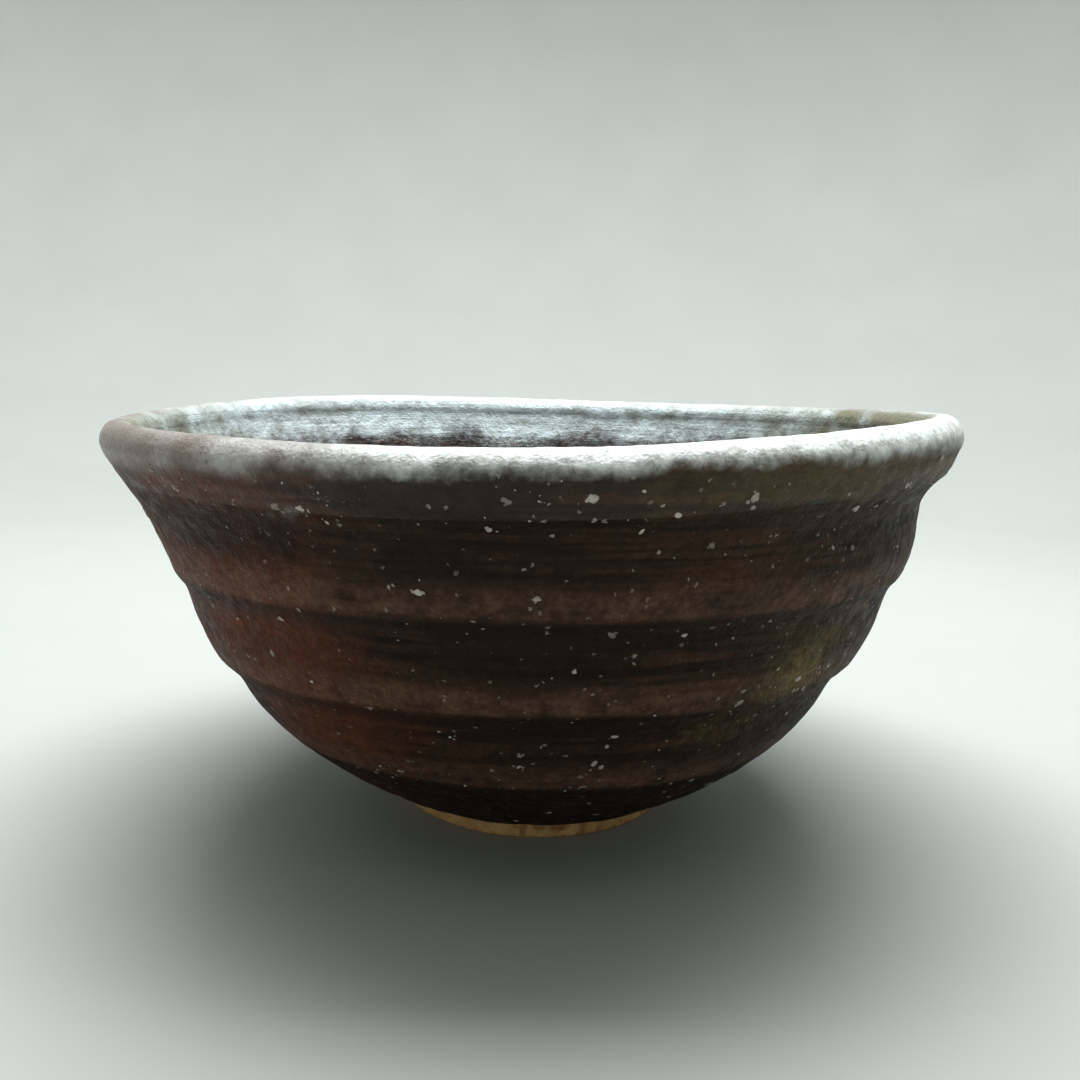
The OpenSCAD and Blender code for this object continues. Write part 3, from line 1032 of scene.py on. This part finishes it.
def make_floor_material():
    """A plain pale matt surface with only the faintest unevenness."""
    material, tree, shader = new_material("pale_floor")
    paper = mottle(tree, 60.0, 3.0, 0.45)
    skin = over(tree, paper, colour(0.40, 0.42, 0.40), colour(0.38, 0.40, 0.385))
    roughness = passage(tree, paper, 0.0, 1.0, 0.7, 0.8)
    finish(tree, shader, skin, roughness, paper, 0.02)
    return material


# --- Studio ---------------------------------------------------------------------------------------

FLOOR_AROUND = 96
BACKDROP_H = 2.2       # metres


def make_floor(material):
    """A pale floor that sweeps up into a backdrop all round: near behind the bowl, far in front of it."""
    turn = np.linspace(0, TURN, FLOOR_AROUND, endpoint=False)
    reach = 1.15 - 0.45 * np.sin(turn)
    sweep = 0.65 - 0.3 * np.sin(turn)
    bend = np.linspace(0, math.pi / 2, 18)[:, None]
    across = np.concatenate((reach - sweep + sweep * np.sin(bend), reach[None, :]))
    height = np.concatenate((sweep * (1 - np.cos(bend)), np.full((1, FLOOR_AROUND), BACKDROP_H)))
    rings = np.stack((across * np.cos(turn), across * np.sin(turn), height), axis=-1)
    point = 1 + np.arange(len(height) * FLOOR_AROUND).reshape(-1, FLOOR_AROUND)
    first, following = point[:-1], point[1:]
    sides = np.stack((first, following, np.roll(following, -1, 1), np.roll(first, -1, 1)), axis=-1)
    disc = [(0, a, b) for a, b in zip(point[0], np.roll(point[0], -1))]
    mesh = bpy.data.meshes.new("floor")
    mesh.from_pydata([(0, 0, 0)] + rings.reshape(-1, 3).tolist(), [], disc + sides.reshape(-1, 4).tolist())
    mesh.polygons.foreach_set("use_smooth", np.ones(len(mesh.polygons), bool))
    floor = bpy.data.objects.new("floor", mesh)
    bpy.context.scene.collection.objects.link(floor)
    floor.data.materials.append(material)


def soft_box(name, at, aim, size, power, tint=(1, 1, 1)):
    """A soft square light at a place, aimed at another."""
    lamp = bpy.data.lights.new(name, "AREA")
    lamp.shape = "RECTANGLE"
    lamp.size, lamp.size_y = size
    lamp.energy = power
    lamp.color = tint
    holder = bpy.data.objects.new(name, lamp)
    bpy.context.scene.collection.objects.link(holder)
    holder.location = at
    holder.rotation_euler = (Vector(aim) - Vector(at)).to_track_quat("-Z", "Y").to_euler()


def make_lights():
    """A wide light over and behind the bowl, so the lip shines and the near wall stays dim."""
    soft_box("top_light", (0.0, 0.14, 0.55), (0, 0.0, 0.05), (0.5, 0.24), 4.5, (0.95, 0.99, 1.0))
    soft_box("low_front_light", (-0.25, -0.75, 0.10), (0, 0, 0.0), (0.5, 0.2), 0.4, (1.0, 0.95, 0.9))
    soft_box("backdrop_light", (0, 0.1, 1.5), (0, 0.8, 0.8), (1.4, 0.4), 19)
    soft_box("ceiling_light", (0, -0.3, 2.1), (0, -0.3, 0), (2.0, 2.0), 11)
    world = bpy.data.worlds.new("soft_room")
    world.use_nodes = True
    world.node_tree.nodes["Background"].inputs["Color"].default_value = (0.9, 0.95, 1.0, 1)
    world.node_tree.nodes["Background"].inputs["Strength"].default_value = 0.08
    bpy.context.scene.world = world
    bpy.context.scene.view_settings.view_transform = "Standard"


CAMERA_AT = (0.2, -193.4, 77.1)   # millimetres
CAMERA_PITCH = 9.35               # degrees down from level
CAMERA_ROLL = 1.5                 # degrees


def make_camera():
    """The near, slightly raised viewpoint, tilted a little to one side."""
    lens = bpy.data.cameras.new("camera")
    lens.sensor_width = 36
    lens.lens = 37
    lens.clip_start = 0.01
    holder = bpy.data.objects.new("camera", lens)
    bpy.context.scene.collection.objects.link(holder)
    pitch, roll = math.radians(CAMERA_PITCH), math.radians(CAMERA_ROLL)
    facing = Matrix.Rotation(math.pi / 2 - pitch, 4, "X") @ Matrix.Rotation(roll, 4, "Z")
    holder.matrix_world = Matrix.Translation(Vector(CAMERA_AT) * MM) @ facing
    bpy.context.scene.camera = holder


def make_bowl():
    """All pieces of the bowl, each in its finish."""
    make_slip(make_fired("iron_slip", ash_size=1.6, speck_share=0.14, hole_depth=0.3,
                         shine=0.09, depth_mm=0.2))
    make_lip_glaze(make_fired("lip_ash", ash_size=2.2, speck_share=0.16, hole_depth=0.5,
                              shine=0.28, depth_mm=0.13))
    make_inner_glaze(make_fired("inner_ash", ash_size=1.3, speck_share=0.3, hole_depth=0.6,
                                shine=0.3, depth_mm=0.22))
    stoneware = make_clay("stoneware", *CORE_CLAY)
    make_clay_core(stoneware)
    make_lip_core(stoneware)
    make_foot(make_clay("bare_clay", *FOOT_CLAY))
    make_grains(make_feldspar())


make_bowl()
make_floor(make_floor_material())
make_lights()
make_camera()

bpy.context.view_layer.update()
